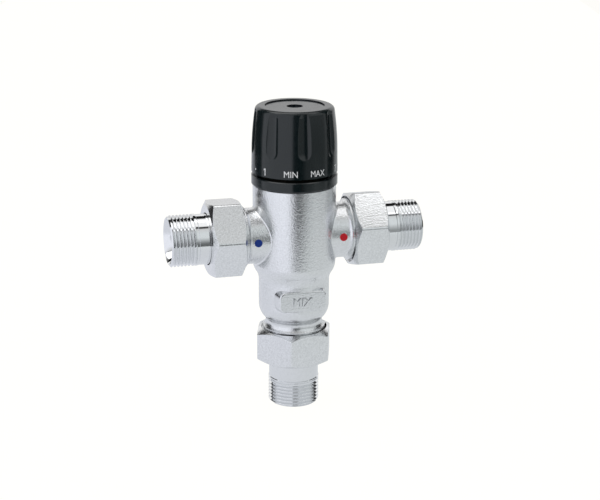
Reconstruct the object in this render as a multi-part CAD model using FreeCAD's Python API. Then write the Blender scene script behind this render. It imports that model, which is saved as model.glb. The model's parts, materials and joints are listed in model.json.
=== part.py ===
import FreeCAD, Part
import math
import os

# Thermostatic mixing valve: a three-way cast brass body with a turning temperature knob on top,
# cold water from -X, hot water from +X and mixed water down -Z, each through a loose union.
# Millimetres. The origin is the centre of the outlet's end face, +Z runs up to the knob, -Y is the front.

V = FreeCAD.Vector
UP = V(0, 0, 1)
CENTRE = V(0, 0, 0)

# ---------------------------------------------------------------- driving dimensions

# Unions: tailpiece, nut and flat gasket on each of the three body ports
tail_thread_r = 13.22
tail_thread_length = 14.3
tail_barrel_r = 12.95
tail_bore_r = 10.0
tail_chamfer = 1.0
tail_flange_step = 2.08
tail_flange_thickness = 3.0
inlet_projection = 20.0
outlet_projection = 23.6
gasket_inset = 0.1
gasket_thickness = 2.0
union_thread_step = 1.32
union_thread_clearance = 0.1
nut_wall = 1.88
nut_length = 17.8
nut_shoulder = 3.0
nut_face_inset = 1.1
nut_chamfer_slope = 30.0
nut_edge_r = 0.5
nut_mouth = 0.45
nut_tail_clearance = 0.18
nut_turns = {"cold": -24.0, "hot": 16.0, "outlet": -11.5}

# Body casting, heights counted from the outlet port's face except where they say otherwise
port_height = 60.4
head_height = 26.7  # from the side ports' axis to the top face
barrel_r = 21.4
belly_r = 18.3
shoulder_low = 36.0
shoulder_high = 45.7
neck_r = 14.7
neck_height = 13.8
neck_groove_r = 3.9
collar_step = 0.52
collar_low = 8.6
collar_high = 10.8
belly_low = 22.6
belly_curve_r = 9.5
port_reach = 38.2
stub_r = 14.45
stub_saddle_r = 1.0
thread_lead_in = 0.7
casting_edge_r = 0.5

# Flat pad on the belly's front
pad_half_width = 12.3
pad_low = 23.4
pad_high = 33.8
pad_proud = 0.2
pad_root_y = 10.0
pad_corner_r = 3.0
pad_draft = 12.0
pad_edge_r = 0.9

# Waterways inside the casting
port_bore_r = 11.0
port_bore_end_gap = 2.2
outlet_bore_r = 10.0
mixing_bore_r = 11.5
chamber_wall = 4.4
hot_chamber_depth = 12.0
web_thickness = 4.0
cold_chamber_height = 13.5
window_r = 9.5
bonnet_thread_depth = 0.9
bonnet_thread_clearance = 0.1

# Mixing spool
spool_r = 13.3
spool_wall = 1.4
spool_clearance = 0.05
hot_gap = 1.2
cold_gap = 3.2
spool_length = 19.6
hub_r = 7.5
hub_thickness = 5.0
hub_above_rim = 4.8
spoke_count = 4
spoke_width = 2.4
spool_seal_cord_r = 0.62

# Wax element and what it pushes on
return_spring_room = 30.0
wax_cup_r = 5.5
wax_cup_length = 22.0
wax_flange_r = 7.0
wax_flange_thickness = 3.0
wax_neck_r = 4.5
wax_neck_length = 11.0
piston_r = 1.9
piston_clearance = 0.05
piston_overlap = 7.0
fit_clearance = 0.05

# Setting nut, which rises and falls in the bonnet's hexagonal bore
setting_hex_land = 1.2
setting_hex_clearance = 0.1
setting_nut_length = 19.0
setting_nut_raise = 1.2
setting_thread_length = 5.5
cup_chamber_r = 7.6
cup_flange_thickness = 1.2
cup_hat_r = 4.6
cup_hat_height = 3.3
cup_ring_thickness = 0.8
cup_ring_depth = 0.5
cup_ring_inner_r = 6.2
cup_ring_set_back = 1.2
travel_room = 3.3

# Springs: mean radius or play round them, wire radius, number of turns
return_spring_play = 0.3
return_spring_wire_r = 0.8
return_spring_turns = 5
overtravel_spring_play = 0.35
overtravel_spring_wire_r = 0.65
overtravel_spring_turns = 4
check_spring_r = 4.4
check_spring_wire_r = 0.35
check_spring_turns = 3

# Bonnet
bonnet_skirt_clearance = 0.1
bonnet_thread_start = 3.8
bonnet_flange_inset = 1.9
bonnet_flange_thickness = 2.3
bonnet_neck_hex = 28.0
bonnet_neck_height = 6.5
bonnet_stem_wall = 2.95
bonnet_stem_height = 10.5
bonnet_seal_cord_r = 0.66

# Spindle
spindle_r = 6.0
spindle_clearance = 0.05
spindle_thread_r = 5.0
spindle_thread_reach = 12.1
spindle_collar_step = 2.0
spindle_collar_clearance = 0.2
spindle_collar_thickness = 1.5
spindle_play = 0.1
spindle_seal_cord_r = 0.7
serration_count = 20
serration_depth = 0.5
serration_r = 5.5
serration_length = 10.8
circlip_thickness = 1.0
circlip_width = 3.25
circlip_groove_depth = 1.3
circlip_mouth = 4.0

# Indicator ring
ring_overhang = 0.65
ring_height = 5.0
ring_rise = 2.4
ring_lip_clearance = 0.1
lug_width = 2.0
lug_clearance = 0.3
lug_angle = 9.5
lug_height = 3.5
stop_centre = 90.0
knob_turn_angle = 340.0

# Knob
knob_gap = 1.5
knob_height = 33.8
knob_inset = 0.05
knob_band_height = 13.0
knob_band_taper = 0.2
knob_waist_taper = 0.7
knob_top_taper = 1.75
knob_edge_r = 2.4
knob_wall = 2.8
knob_top_wall = 3.6
knob_ceiling = 8.0
knob_floor = 2.9
knob_boss_r = 8.5
knob_rib_count = 8
knob_rib_thickness = 1.6
knob_rib_height = 9.0
flute_count = 8
flute_first = -91.5
flute_foot = 9.9
flute_foot_width = 7.7
flute_foot_depth = 1.3
flute_top_width = 5.6
flute_top_depth = 0.8
cap_rim = 5.25
cap_gap = 0.12
cap_thickness = 2.0
cap_sink = 0.6
cap_eye_r = 4.15
cap_eye_depth = 1.1
cap_plug_inset = 2.5
cap_plug_wall = 1.2
cap_plug_length = 1.8
screw_r = 2.45
screw_head_r = 4.6
screw_head_height = 2.6
screw_socket = 3.0
screw_length = 14.0
screw_well_depth = 3.4

# Check valve cartridges in the two inlet ports
cartridge_length = 16.0
cartridge_wall = 2.0
cartridge_clearance = 0.1
seat_r = 6.0
seat_depth = 3.2
poppet_overlap = 1.6
poppet_thickness = 1.3
poppet_boss_r = 3.0
poppet_boss_height = 1.4
poppet_stem_r = 1.6
poppet_stem_length = 9.0
poppet_seal_inset = 0.2
poppet_seal_thickness = 0.8
guide_thickness = 2.0
guide_hub_r = 3.0
guide_hub_length = 4.2
guide_ring_wall = 1.3
guide_spoke_count = 3
guide_spoke_width = 1.6

# Strainers in the inlet tailpieces
strainer_flange_step = 2.0
strainer_flange_thickness = 1.0
strainer_clearance = 0.7
strainer_wall = 0.7
strainer_length = 15.0
strainer_slot_count = 10
strainer_slot_width = 1.4

# Colour dots on the inlet stubs
dot_r = 2.0
dot_proud = 0.3
dot_depth = 0.8
dot_stand_off = 1.0
dot_clearance = 0.02

# ---------------------------------------------------------------- places worked out from them

cut_over = 1.0
root_three = math.sqrt(3)

tail_flange_r = tail_thread_r + tail_flange_step
gasket_r = tail_flange_r - gasket_inset
union_thread_r = tail_flange_r + union_thread_step
collar_r = union_thread_r - collar_step
nut_across_flats = 2 * (union_thread_r + nut_wall)
strainer_flange_r = tail_bore_r + strainer_flange_step
strainer_r = tail_bore_r - strainer_clearance
poppet_r = seat_r + poppet_overlap
poppet_seal_r = poppet_r - poppet_seal_inset

chamber_r = barrel_r - chamber_wall
pad_face_y = belly_r + pad_proud
port_bore_floor = port_reach - cartridge_length - port_bore_end_gap
dot_reach = barrel_r + dot_stand_off
bonnet_thread_r = chamber_r + bonnet_thread_depth
bonnet_skirt_r = chamber_r - bonnet_skirt_clearance
bonnet_flange_r = barrel_r - bonnet_flange_inset
bonnet_stem_r = spindle_r + spindle_clearance + bonnet_stem_wall
spindle_collar_r = spindle_r + spindle_collar_step
circlip_groove_r = spindle_r - circlip_groove_depth
setting_hex = root_three * (spool_r - setting_hex_land)
ring_r = barrel_r + ring_overhang
knob_base_r = ring_r - knob_inset
knob_band_r = knob_base_r - knob_band_taper
knob_waist_r = knob_base_r - knob_waist_taper
knob_top_r = knob_base_r - knob_top_taper
cap_r = knob_top_r - cap_rim
cap_plug_r = cap_r - cap_plug_inset
lug_outer_r = knob_base_r - knob_wall - lug_clearance
lug_inner_r = lug_outer_r - lug_width

union_stack = gasket_thickness + tail_flange_thickness + nut_shoulder
outlet_face = outlet_projection + union_stack
port_z = outlet_face + port_height
body_top = port_z + head_height

hot_seat = port_z - hot_chamber_depth
web_low = port_z - web_thickness / 2
web_high = port_z + web_thickness / 2
cold_chamber_top = web_high + cold_chamber_height

spool_low = hot_seat + hot_gap
spool_high = spool_low + spool_length
cold_seat = spool_high + cold_gap
hub_low = spool_low + hub_above_rim
hub_high = hub_low + hub_thickness
web_bore_r = spool_r + spool_clearance
spring_ledge = hub_low - return_spring_room
return_spring = (
    mixing_bore_r - return_spring_play - return_spring_wire_r,
    return_spring_wire_r,
    return_spring_turns,
)
overtravel_spring = (
    cup_chamber_r - overtravel_spring_play - overtravel_spring_wire_r,
    overtravel_spring_wire_r,
    overtravel_spring_turns,
)
check_spring = (check_spring_r, check_spring_wire_r, check_spring_turns)

wax_neck_top = hub_low + wax_neck_length
nut_low = spool_high + setting_nut_raise
nut_high = nut_low + setting_nut_length
cup_ring_low = nut_low + cup_ring_set_back
cup_low = cup_ring_low + cup_ring_thickness
cup_flange_top = cup_low + cup_flange_thickness
cup_hat_top = cup_flange_top + cup_hat_height
nut_thread_low = nut_high - setting_thread_length

hex_bore_top = nut_high + travel_room
collar_low_z = hex_bore_top + spindle_play
collar_high_z = collar_low_z + spindle_collar_thickness
bearing_low = collar_high_z + spindle_play
neck_top = body_top + bonnet_flange_thickness + bonnet_neck_height
stem_top = neck_top + bonnet_stem_height
circlip_low = stem_top + 2 * spindle_play
circlip_high = circlip_low + circlip_thickness
spindle_top = circlip_high + serration_length
spindle_bore_r = spindle_r + spindle_clearance

ring_top = body_top + ring_height
knob_low = ring_top + knob_gap
knob_high = knob_low + knob_height
knob_ceiling_z = knob_high - knob_ceiling
knob_boss_low = circlip_high + 0.2
cap_top = knob_high - cap_sink
cap_low = cap_top - cap_thickness
screw_seat = cap_low - screw_well_depth

# ---------------------------------------------------------------- building blocks


def outline_face(outline):
    """Face in the XZ plane. An entry is a corner (r, z), or (r, z, r, z) for an arc's middle and end."""
    edges = []
    start = V(outline[0][-2], 0, outline[0][-1])
    for entry in outline[1:] + outline[:1]:
        end = V(entry[-2], 0, entry[-1])
        if len(entry) == 4:
            edges.append(Part.Arc(start, V(entry[0], 0, entry[1]), end).toShape())
        else:
            edges.append(Part.LineSegment(start, end).toShape())
        start = end
    return Part.Face(Part.Wire(edges))


def turned(outline):
    """Solid turned about Z from an outline of radii and heights."""
    return outline_face(outline).revolve(CENTRE, UP, 360)


def cylinder(radius, low, high):
    return Part.makeCylinder(radius, high - low, V(0, 0, low))


def tube(outer_r, inner_r, low, high):
    return turned([(inner_r, low), (outer_r, low), (outer_r, high), (inner_r, high)])


def hexagon(across_flats, low, high, turn=0.0):
    corner_r = across_flats / root_three
    corners = []
    for step in range(7):
        angle = math.radians(turn + 60 * step)
        corners.append(V(corner_r * math.cos(angle), corner_r * math.sin(angle), low))
    return Part.Face(Part.makePolygon(corners)).extrude(V(0, 0, high - low))


def around(shape, count, first=0.0):
    """Copies of a shape spaced evenly about Z, as one shape."""
    copies = []
    for step in range(count):
        copy = shape.copy()
        copy.rotate(CENTRE, UP, first + 360.0 * step / count)
        copies.append(copy)
    return copies[0].multiFuse(copies[1:])


def o_ring(mean_r, cord_r, height):
    return Part.makeTorus(mean_r, cord_r, V(0, 0, height), UP)


def wedge_sector(inner_r, outer_r, low, high, middle, width):
    """Block of a ring, width degrees wide about the angle middle."""
    face = outline_face([(inner_r, low), (outer_r, low), (outer_r, high), (inner_r, high)])
    face.rotate(CENTRE, UP, middle - width / 2)
    return face.revolve(CENTRE, UP, width)


def coil_spring(size, low, high):
    """Compression spring between two seats, its round wire drawn with eight sides."""
    mean_r, wire_r, turns = size
    free = high - low - 2 * wire_r
    path = Part.makeHelix(free / turns, free, mean_r)
    corners = []
    for step in range(9):
        angle = math.radians(45 * step + 22.5)
        corners.append(V(mean_r + wire_r * math.cos(angle), 0, wire_r * math.sin(angle)))
    spring = Part.Wire(path.Edges).makePipeShell([Part.makePolygon(corners)], True, True)
    spring.translate(V(0, 0, low + wire_r))
    return spring


def rounded_rectangle(half_width, low, high, corner_r, y):
    """Closed wire in a plane of constant y."""
    middle = (low + high) / 2
    half_height = (high - low) / 2
    slant = corner_r * (1 - math.sqrt(0.5))
    edges = []
    quarters = [(1, 1, 0), (-1, 1, 1), (-1, -1, 0), (1, -1, 1)]
    ends = []
    for side_x, side_z, swap in quarters:
        along_x = V(side_x * (half_width - corner_r), y, middle + side_z * half_height)
        along_z = V(side_x * half_width, y, middle + side_z * (half_height - corner_r))
        mid = V(side_x * (half_width - slant), y, middle + side_z * (half_height - slant))
        pair = (along_x, along_z) if swap else (along_z, along_x)
        ends.append((pair[0], mid, pair[1]))
    for index, (start, mid, end) in enumerate(ends):
        edges.append(Part.Arc(start, mid, end).toShape())
        edges.append(Part.LineSegment(end, ends[(index + 1) % 4][0]).toShape())
    return Part.Wire(edges)


PORTS = {
    "cold": FreeCAD.Placement(V(-port_reach, 0, port_z), FreeCAD.Rotation(V(0, 1, 0), -90)),
    "hot": FreeCAD.Placement(V(port_reach, 0, port_z), FreeCAD.Rotation(V(0, 1, 0), 90)),
    "outlet": FreeCAD.Placement(V(0, 0, outlet_face), FreeCAD.Rotation(V(1, 0, 0), 180)),
}


def seat(shape, port):
    """Move a shape built on a port's end face, with +Z pointing out of the port, to its port."""
    placed = shape.copy()
    placed.Placement = PORTS[port].multiply(shape.Placement)
    return placed


# ---------------------------------------------------------------- the body casting


def barrel():
    """Turned outside of the casting: union thread, collar, neck, belly, shoulder and barrel."""
    base = outlet_face
    collar_z = base + collar_high
    neck_z = base + neck_height
    groove_centre_r = neck_r + neck_groove_r
    belly_z = base + belly_low
    belly_centre_r = belly_r - belly_curve_r
    # The neck's groove and the belly's curve meet on the line between their centres.
    span = math.hypot(groove_centre_r - belly_centre_r, belly_z - neck_z)
    share = belly_curve_r / span
    meet_r = belly_centre_r + (groove_centre_r - belly_centre_r) * share
    meet_z = belly_z - (belly_z - neck_z) * share
    belly_mid = math.atan2(meet_z - belly_z, meet_r - belly_centre_r) / 2
    rise = shoulder_high - shoulder_low
    swell = (barrel_r - belly_r) / 2
    sweep_r = (rise * rise / 4 + swell * swell) / (2 * swell)
    half_turn = math.asin(rise / 2 / sweep_r) / 2
    dip = sweep_r * (1 - math.cos(half_turn))
    reach = sweep_r * math.sin(half_turn)
    return turned(
        [
            (0, base),
            (union_thread_r - thread_lead_in, base),
            (union_thread_r, base + thread_lead_in),
            (union_thread_r, base + collar_low),
            (collar_r, base + collar_low),
            (collar_r, collar_z),
            (neck_r + 0.12, neck_z - 1.0, meet_r, meet_z),
            (
                belly_centre_r + belly_curve_r * math.cos(belly_mid),
                belly_z + belly_curve_r * math.sin(belly_mid),
                belly_r,
                belly_z,
            ),
            (belly_r, base + shoulder_low),
            (belly_r + dip, base + shoulder_low + reach, belly_r + swell, base + shoulder_low + rise / 2),
            (barrel_r - dip, base + shoulder_high - reach, barrel_r, base + shoulder_high),
            (barrel_r, body_top - casting_edge_r),
            (barrel_r - casting_edge_r, body_top),
            (0, body_top),
        ]
    )


def stub():
    """Side port of the casting, from the valve's axis out to the port's face, along +Z."""
    collar_out = port_reach - collar_low
    collar_in = port_reach - collar_high
    flare = collar_r - stub_r
    flare_run = 1.2 * flare
    return turned(
        [
            (0, -port_reach),
            (stub_r, -port_reach),
            (stub_r, collar_in - flare_run - port_reach),
            (
                stub_r + flare * 0.3,
                collar_in - flare_run * 0.45 - port_reach,
                collar_r,
                collar_in - port_reach,
            ),
            (collar_r, collar_out - port_reach),
            (union_thread_r, collar_out - port_reach),
            (union_thread_r, -thread_lead_in),
            (union_thread_r - thread_lead_in, 0),
            (0, 0),
        ]
    )


def pad():
    """Flat pad with drafted sides, nearly level with the belly at its middle and proud at its ends."""
    grow = (pad_face_y - pad_root_y) * math.tan(math.radians(pad_draft))
    low = outlet_face + pad_low
    high = outlet_face + pad_high
    face = rounded_rectangle(pad_half_width, low, high, pad_corner_r, -pad_face_y)
    root = rounded_rectangle(
        pad_half_width + grow, low - grow, high + grow, pad_corner_r + grow, -pad_root_y
    )
    block = Part.makeLoft([face, root], True, True)
    front = [edge for edge in block.Edges if edge.BoundBox.YMax < -pad_face_y + 0.01]
    return block.makeFillet(pad_edge_r, front)


def saddle_edges(shape):
    """The two curves where the side ports leave the barrel."""
    found = []
    for edge in shape.Edges:
        box = edge.BoundBox
        outside = max(abs(box.XMin), abs(box.XMax))
        if box.YLength < 1 or box.ZLength < 1 or box.XLength < 1:
            continue
        if outside < barrel_r + 0.01 and abs(box.Center.z - port_z) < stub_r and box.YLength > stub_r / 2:
            if abs(box.ZMax - port_z - stub_r) < 0.1 or abs(port_z - stub_r - box.ZMin) < 0.1:
                found.append(edge)
    return found


def waterways():
    """Everything bored and cored out of the casting along the valve's axis."""
    seal_half = 1.15 * spool_seal_cord_r
    seal_groove_r = web_bore_r + 2 * spool_seal_cord_r
    return turned(
        [
            (0, outlet_face - cut_over),
            (outlet_bore_r, outlet_face - cut_over),
            (outlet_bore_r, spring_ledge),
            (mixing_bore_r, spring_ledge),
            (mixing_bore_r, hot_seat),
            (chamber_r, hot_seat),
            (chamber_r, web_low),
            (web_bore_r, web_low),
            (web_bore_r, port_z - seal_half),
            (seal_groove_r, port_z - seal_half),
            (seal_groove_r, port_z + seal_half),
            (web_bore_r, port_z + seal_half),
            (web_bore_r, web_high),
            (chamber_r, web_high),
            (chamber_r, cold_chamber_top),
            (bonnet_thread_r + bonnet_thread_clearance, cold_chamber_top + 1.0),
            (bonnet_thread_r + bonnet_thread_clearance, body_top + cut_over),
            (0, body_top + cut_over),
        ]
    )


def window(port):
    """D-shaped opening from a port's bore into its own chamber, above or below the web."""
    inner = math.sqrt(chamber_r * chamber_r - window_r * window_r) - cut_over
    outer = port_bore_floor + cut_over
    way = seat(cylinder(window_r, inner - port_reach, outer - port_reach), port)
    low = web_high if port == "cold" else web_low - 2 * window_r
    half = Part.makeBox(4 * port_reach, 4 * window_r, 2 * window_r, V(-2 * port_reach, -2 * window_r, low))
    return way.common(half)


def dot_socket(side):
    low = stub_r - dot_depth
    foot = V(side * dot_reach, -low, port_z)
    return Part.makeCylinder(dot_r + dot_clearance, 3 * dot_depth, foot, V(0, -1, 0))


def valve_body():
    outside = barrel().multiFuse([seat(stub(), "cold"), seat(stub(), "hot")]).removeSplitter()
    outside = outside.makeFillet(stub_saddle_r, saddle_edges(outside))
    outside = outside.fuse(pad())
    hollows = [waterways(), window("cold"), window("hot"), dot_socket(-1), dot_socket(1)]
    for port in ("cold", "hot"):
        hollows.append(seat(cylinder(port_bore_r, port_bore_floor - port_reach, cut_over), port))
    return outside.cut(hollows)


def colour_dot(side):
    low = stub_r - dot_depth
    return Part.makeCylinder(dot_r, dot_depth + dot_proud, V(side * dot_reach, -low, port_z), V(0, -1, 0))


# ---------------------------------------------------------------- unions


def union_nut(port):
    high = union_stack
    low = high - nut_length
    face_r = nut_across_flats / 2 - nut_face_inset
    corner_r = nut_across_flats / root_three
    drop = (corner_r - face_r) * math.tan(math.radians(nut_chamfer_slope))
    bevels = turned(
        [
            (0, low),
            (face_r, low),
            (corner_r, low + drop),
            (corner_r, high - drop),
            (face_r, high),
            (0, high),
        ]
    )
    thread_r = union_thread_r + union_thread_clearance
    bore = turned(
        [
            (0, low - cut_over),
            (thread_r + nut_mouth, low - cut_over),
            (thread_r + nut_mouth, low),
            (thread_r, low + nut_mouth),
            (thread_r, high - nut_shoulder),
            (tail_thread_r + nut_tail_clearance, high - nut_shoulder),
            (tail_thread_r + nut_tail_clearance, high + cut_over),
            (0, high + cut_over),
        ]
    )
    prism = hexagon(nut_across_flats, low, high, nut_turns[port])
    corners = [edge for edge in prism.Edges if edge.BoundBox.ZLength > nut_length / 2]
    nut = prism.makeFillet(nut_edge_r, corners).common(bevels).cut(bore)
    return seat(nut, port)


def tailpiece(port):
    """Flanged tail with a plain barrel and a male pipe thread, whose helix is left smooth."""
    projection = outlet_projection if port == "outlet" else inlet_projection
    flange_low = gasket_thickness
    flange_high = flange_low + tail_flange_thickness
    end = union_stack + projection
    thread_low = end - tail_thread_length
    recess_r = strainer_flange_r + fit_clearance
    recess_depth = strainer_flange_thickness
    if port == "outlet":
        recess_r = tail_bore_r + recess_depth
    tail = turned(
        [
            (recess_r, flange_low),
            (tail_flange_r, flange_low),
            (tail_flange_r, flange_high),
            (tail_barrel_r, flange_high),
            (tail_barrel_r, thread_low),
            (tail_thread_r, thread_low + (tail_thread_r - tail_barrel_r)),
            (tail_thread_r, end - tail_chamfer),
            (tail_thread_r - tail_chamfer, end),
            (tail_bore_r + 0.5, end),
            (tail_bore_r, end - 0.5),
            (tail_bore_r, flange_low + recess_depth),
            (recess_r, flange_low + recess_depth),
        ]
    )
    return seat(tail, port)


def gasket(port):
    return seat(tube(gasket_r, tail_bore_r, 0, gasket_thickness), port)


def strainer(port):
    """Slotted basket whose flange is held between the gasket and the tailpiece."""
    low = gasket_thickness
    end = low + strainer_length
    basket = turned(
        [
            (strainer_r - strainer_wall, low),
            (strainer_flange_r, low),
            (strainer_flange_r, low + strainer_flange_thickness),
            (strainer_r, low + strainer_flange_thickness),
            (strainer_r, end - strainer_wall),
            (strainer_r - strainer_wall, end),
            (0, end),
            (0, end - strainer_wall),
            (strainer_r - strainer_wall, end - strainer_wall),
        ]
    )
    slot_low = low + 2 * strainer_flange_thickness
    slot_length = end - 3 * strainer_wall - slot_low
    slot = Part.makeBox(
        2 * strainer_r, strainer_slot_width, slot_length, V(0, -strainer_slot_width / 2, slot_low)
    )
    return seat(basket.cut(around(slot, strainer_slot_count)), port)


# ---------------------------------------------------------------- check valves


def check_housing(port):
    outer_r = port_bore_r - cartridge_clearance
    inner_r = outer_r - cartridge_wall
    housing = turned(
        [
            (inner_r, -cartridge_length),
            (outer_r, -cartridge_length),
            (outer_r, 0),
            (seat_r + 2.0, 0),
            (seat_r, -2.0),
            (seat_r, -seat_depth),
            (inner_r, -seat_depth),
        ]
    )
    return seat(housing, port)


def check_guide(port):
    """Spoked guide for the poppet's stem, at the inner end of the cartridge."""
    outer_r = port_bore_r - cartridge_clearance - cartridge_wall - fit_clearance
    low = -cartridge_length
    high = low + guide_thickness
    ring = tube(outer_r, outer_r - guide_ring_wall, low, high)
    hub = cylinder(guide_hub_r, low, low + guide_hub_length)
    spoke = Part.makeBox(
        outer_r - guide_ring_wall / 2, guide_spoke_width, guide_thickness, V(0, -guide_spoke_width / 2, low)
    )
    guide = ring.multiFuse([hub, around(spoke, guide_spoke_count)])
    bore = cylinder(poppet_stem_r + fit_clearance, low - cut_over, high + guide_hub_length)
    return seat(guide.cut(bore).removeSplitter(), port)


def check_poppet(port):
    face = -seat_depth - poppet_seal_thickness
    back = face - poppet_thickness
    poppet = turned(
        [
            (0, back - poppet_stem_length),
            (poppet_stem_r - 0.3, back - poppet_stem_length),
            (poppet_stem_r, back - poppet_stem_length + 0.3),
            (poppet_stem_r, back),
            (poppet_r, back),
            (poppet_r, face),
            (poppet_boss_r, face),
            (poppet_boss_r, face + poppet_boss_height),
            (0, face + poppet_boss_height),
        ]
    )
    return seat(poppet, port)


def check_seal(port):
    face = -seat_depth
    return seat(tube(poppet_seal_r, poppet_boss_r, face - poppet_seal_thickness, face), port)


def check_return(port):
    high = -seat_depth - poppet_seal_thickness - poppet_thickness
    low = -cartridge_length + guide_thickness
    return seat(coil_spring(check_spring, low, high), port)


# ---------------------------------------------------------------- thermostatic group


def mixing_spool():
    """Thin sleeve whose two rims throttle hot below and cold above, carried by spokes on a hub."""
    inner_r = spool_r - spool_wall
    sleeve = tube(spool_r, inner_r, spool_low, spool_high)
    hub = cylinder(hub_r, hub_low, hub_high)
    spoke = Part.makeBox(
        spool_r - spool_wall / 2, spoke_width, hub_thickness, V(0, -spoke_width / 2, hub_low)
    )
    spool = sleeve.multiFuse([hub, around(spoke, spoke_count)])
    eye = cylinder(wax_neck_r + fit_clearance, hub_low - cut_over, hub_high + cut_over)
    return spool.cut(eye).removeSplitter()


def wax_element():
    """Sensing cup, flange under the spool's hub and a neck that guides the piston rod."""
    flange_low = hub_low - wax_flange_thickness
    cup_low_z = flange_low - wax_cup_length
    element = turned(
        [
            (0, cup_low_z),
            (wax_cup_r - 1.5, cup_low_z),
            (wax_cup_r - 0.44, cup_low_z + 0.44, wax_cup_r, cup_low_z + 1.5),
            (wax_cup_r, flange_low),
            (wax_flange_r, flange_low),
            (wax_flange_r, hub_low),
            (wax_neck_r, hub_low),
            (wax_neck_r, wax_neck_top - 0.5),
            (wax_neck_r - 0.5, wax_neck_top),
            (0, wax_neck_top),
        ]
    )
    bore = cylinder(piston_r + piston_clearance, wax_neck_top - piston_overlap - 1.5, wax_neck_top + cut_over)
    return element.cut(bore)


def piston_rod():
    return cylinder(piston_r, wax_neck_top - piston_overlap, cup_low + 0.75 * cup_hat_height)


def thrust_cup():
    flange_r = cup_chamber_r - fit_clearance
    cup = turned(
        [
            (0, cup_low),
            (flange_r, cup_low),
            (flange_r, cup_flange_top),
            (cup_hat_r, cup_flange_top),
            (cup_hat_r, cup_hat_top - 0.6),
            (cup_hat_r - 0.6, cup_hat_top),
            (0, cup_hat_top),
        ]
    )
    return cup.cut(cylinder(piston_r + piston_clearance, cup_low - cut_over, cup_low + 0.75 * cup_hat_height))


def setting_nut():
    """Hexagonal nut that the spindle drives up and down, with the thrust cup's chamber in its foot."""
    groove_r = cup_chamber_r + cup_ring_depth + fit_clearance
    inside = turned(
        [
            (0, nut_low - cut_over),
            (cup_chamber_r, nut_low - cut_over),
            (cup_chamber_r, cup_ring_low),
            (groove_r, cup_ring_low),
            (groove_r, cup_low),
            (cup_chamber_r, cup_low),
            (cup_chamber_r, nut_thread_low),
            (spindle_thread_r + fit_clearance, nut_thread_low),
            (spindle_thread_r + fit_clearance, nut_high + cut_over),
            (0, nut_high + cut_over),
        ]
    )
    return hexagon(setting_hex, nut_low, nut_high).cut(inside)


def split_ring(outer_r, inner_r, low, high, mouth):
    ring = tube(outer_r, inner_r, low, high)
    gap = Part.makeBox(2 * outer_r, mouth, high - low + 2 * cut_over, V(0, -mouth / 2, low - cut_over))
    return ring.cut(gap)


def cup_retaining_ring():
    outer_r = cup_chamber_r + cup_ring_depth
    return split_ring(outer_r, cup_ring_inner_r, cup_ring_low, cup_low, circlip_mouth)


# ---------------------------------------------------------------- bonnet and spindle


def bonnet():
    """Screwed headwork: cold seat below, hexagonal guide inside, spindle bearing above."""
    seal_mean = bonnet_skirt_r - bonnet_seal_cord_r
    groove_r = seal_mean - bonnet_seal_cord_r
    groove_mid = cold_seat + 1.7
    groove_half = 1.2 * bonnet_seal_cord_r
    thread_low = cold_seat + bonnet_thread_start
    flange_top = body_top + bonnet_flange_thickness
    core = turned(
        [
            (0, cold_seat),
            (bonnet_skirt_r - 0.5, cold_seat),
            (bonnet_skirt_r, cold_seat + 0.5),
            (bonnet_skirt_r, groove_mid - groove_half),
            (groove_r, groove_mid - groove_half),
            (groove_r, groove_mid + groove_half),
            (bonnet_skirt_r, groove_mid + groove_half),
            (bonnet_skirt_r, thread_low),
            (bonnet_thread_r, thread_low + 1.0),
            (bonnet_thread_r, body_top),
            (bonnet_flange_r, body_top),
            (bonnet_flange_r, flange_top),
            (bonnet_stem_r, flange_top),
            (bonnet_stem_r, stem_top - 0.5),
            (bonnet_stem_r - 0.5, stem_top),
            (0, stem_top),
        ]
    )
    core = core.fuse(hexagon(bonnet_neck_hex, flange_top - 0.5, neck_top))
    inside = turned(
        [
            (0, hex_bore_top - cut_over),
            (spindle_collar_r + spindle_collar_clearance, hex_bore_top - cut_over),
            (spindle_collar_r + spindle_collar_clearance, bearing_low),
            (spindle_bore_r, bearing_low),
            (spindle_bore_r, stem_top + cut_over),
            (0, stem_top + cut_over),
        ]
    )
    guide = hexagon(setting_hex + setting_hex_clearance, cold_seat - cut_over, hex_bore_top)
    return core.cut([guide, inside])


def bonnet_seal():
    return o_ring(bonnet_skirt_r - bonnet_seal_cord_r, bonnet_seal_cord_r, cold_seat + 1.7)


def spindle_seal_heights():
    middle = (bearing_low + stem_top) / 2
    return middle - 2.0, middle + 2.0


def spindle():
    groove_r = spindle_r - 2 * spindle_seal_cord_r
    groove_half = 1.2 * spindle_seal_cord_r
    outline = [
        (0, collar_low_z - spindle_thread_reach),
        (spindle_thread_r - 0.6, collar_low_z - spindle_thread_reach),
        (spindle_thread_r, collar_low_z - spindle_thread_reach + 0.6),
        (spindle_thread_r, collar_low_z),
        (spindle_collar_r, collar_low_z),
        (spindle_collar_r, collar_high_z),
        (spindle_r, collar_high_z),
    ]
    for height in spindle_seal_heights():
        outline += [
            (spindle_r, height - groove_half),
            (groove_r, height - groove_half),
            (groove_r, height + groove_half),
            (spindle_r, height + groove_half),
        ]
    outline += [
        (spindle_r, circlip_low),
        (circlip_groove_r, circlip_low),
        (circlip_groove_r, circlip_high + 0.2),
        (0, circlip_high + 0.2),
    ]
    shaft = turned(outline)
    splines = serrated(serration_r, circlip_high, spindle_top)
    bore = cylinder(screw_r + fit_clearance, screw_seat - screw_length - 0.5, spindle_top + cut_over)
    return shaft.fuse(splines).cut(bore)


def serrated(tip_r, low, high):
    """Prism with fine triangular teeth, by which the knob turns the spindle."""
    points = []
    for step in range(2 * serration_count + 1):
        radius = tip_r if step % 2 == 0 else tip_r - serration_depth
        angle = math.pi * step / serration_count
        points.append(V(radius * math.cos(angle), radius * math.sin(angle), low))
    return Part.Face(Part.makePolygon(points)).extrude(V(0, 0, high - low))


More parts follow.
